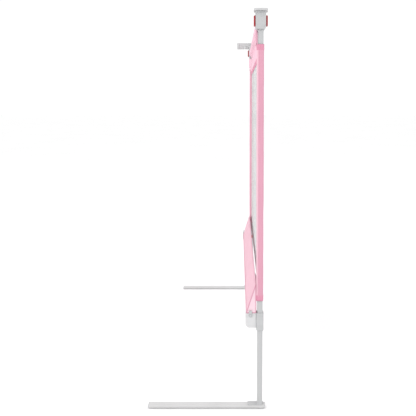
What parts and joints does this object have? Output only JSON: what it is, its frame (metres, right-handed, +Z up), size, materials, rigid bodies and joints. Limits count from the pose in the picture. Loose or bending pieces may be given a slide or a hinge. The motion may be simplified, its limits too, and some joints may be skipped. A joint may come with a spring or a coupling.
{
  "type": "toddler bed rail",
  "caption": "Toddler bed guard rail with a drop-down cloth and mesh panel, squeeze-button sliders on two posts, and flat feet that go under the mattress.",
  "frame": {"origin": "on the floor, at the middle of the overall length and depth", "axes": "+Z up, +Y along the rail to the end with the corner link, +X to the room side; the feet run to -X, under the mattress"},
  "size_m": [0.2528, 0.9, 0.8506],
  "materials": {
    "foot_steel": "satin grey powder coat",
    "post_steel": "satin grey powder coat",
    "grey_plastic": "satin moulded",
    "light_plastic": "satin moulded",
    "red_plastic": "semi-gloss moulded",
    "pad_rubber": "matte",
    "screw_steel": "zinc plated",
    "pink_cloth": "plain woven cloth",
    "mesh_cloth": "knitted mesh"
  },
  "bodies": {
    "stand": {"near_foot": "foot_steel", "far_foot": "foot_steel", "near_foot_plug": "grey_plastic", "far_foot_plug": "grey_plastic", "near_heel_plug": "grey_plastic", "far_heel_plug": "grey_plastic", "foot_pads": "pad_rubber", "near_post_stub": "post_steel", "far_post_stub": "post_steel", "near_post": "post_steel", "far_post": "post_steel", "base_screws": "screw_steel", "near_post_cap": "grey_plastic", "far_post_cap": "grey_plastic", "link_pin": "screw_steel"},
    "link": {"corner_link": "grey_plastic"},
    "lower_rail": {"near_collar": "grey_plastic", "far_collar": "grey_plastic", "lock_springs": "screw_steel", "near_bar_bracket": "light_plastic", "far_bar_bracket": "light_plastic", "lower_tube": "post_steel", "lower_tube_screws": "screw_steel", "skirt_clips": "grey_plastic", "clip_screws": "screw_steel", "lower_skirt": "pink_cloth", "skirt_tabs": "pink_cloth", "near_post_sleeve": "pink_cloth", "far_post_sleeve": "pink_cloth", "near_side_band": "pink_cloth", "far_side_band": "pink_cloth", "mesh_panel": "mesh_cloth", "mesh_hem": "mesh_cloth"},
    "top_rail": {"near_housing_outer": "grey_plastic", "near_housing_inner": "grey_plastic", "far_housing_outer": "grey_plastic", "far_housing_inner": "grey_plastic", "housing_screws": "screw_steel", "top_tube": "post_steel", "top_tube_screws": "screw_steel", "top_band": "pink_cloth", "button_springs": "screw_steel"},
    "near_bed_button": {"near_bed_side_button": "red_plastic"},
    "near_room_button": {"near_room_side_button": "red_plastic"},
    "far_bed_button": {"far_bed_side_button": "red_plastic"},
    "far_room_button": {"far_room_side_button": "red_plastic"},
    "near_lock": {"near_lock_button": "red_plastic"},
    "far_lock": {"far_lock_button": "red_plastic"}
  },
  "joints": [
    {"name": "lower_rail_slide", "type": "slide", "parent": "stand", "child": "lower_rail", "axis": [0, 0, 1], "range_m": [-0.12, 0]},
    {"name": "top_rail_slide", "type": "slide", "parent": "lower_rail", "child": "top_rail", "axis": [0, 0, 1], "range_m": [-0.4, 0], "deforming": ["near_post_sleeve", "far_post_sleeve", "near_side_band", "far_side_band", "mesh_panel", "mesh_hem"]},
    {"name": "near_bed_button_press", "type": "slide", "parent": "top_rail", "child": "near_bed_button", "axis": [1, 0, 0], "range_m": [0, 0.0015], "stiffness_N_per_m": 400, "springref_m": -0.002},
    {"name": "near_room_button_press", "type": "slide", "parent": "top_rail", "child": "near_room_button", "axis": [-1, 0, 0], "range_m": [0, 0.0015], "stiffness_N_per_m": 400, "springref_m": -0.002},
    {"name": "far_bed_button_press", "type": "slide", "parent": "top_rail", "child": "far_bed_button", "axis": [1, 0, 0], "range_m": [0, 0.0015], "stiffness_N_per_m": 400, "springref_m": -0.002},
    {"name": "far_room_button_press", "type": "slide", "parent": "top_rail", "child": "far_room_button", "axis": [-1, 0, 0], "range_m": [0, 0.0015], "stiffness_N_per_m": 400, "springref_m": -0.002},
    {"name": "near_lock_press", "type": "slide", "parent": "lower_rail", "child": "near_lock", "axis": [0, -1, 0], "range_m": [0, 0.003], "stiffness_N_per_m": 300, "springref_m": -0.003},
    {"name": "far_lock_press", "type": "slide", "parent": "lower_rail", "child": "far_lock", "axis": [0, 1, 0], "range_m": [0, 0.003], "stiffness_N_per_m": 300, "springref_m": -0.003},
    {"name": "link_swivel", "type": "hinge", "parent": "stand", "child": "link", "pos_m": [0.1122, 0.43, 0.845], "axis": [0, 0, 1], "range_deg": [-90, 45]}
  ]
}
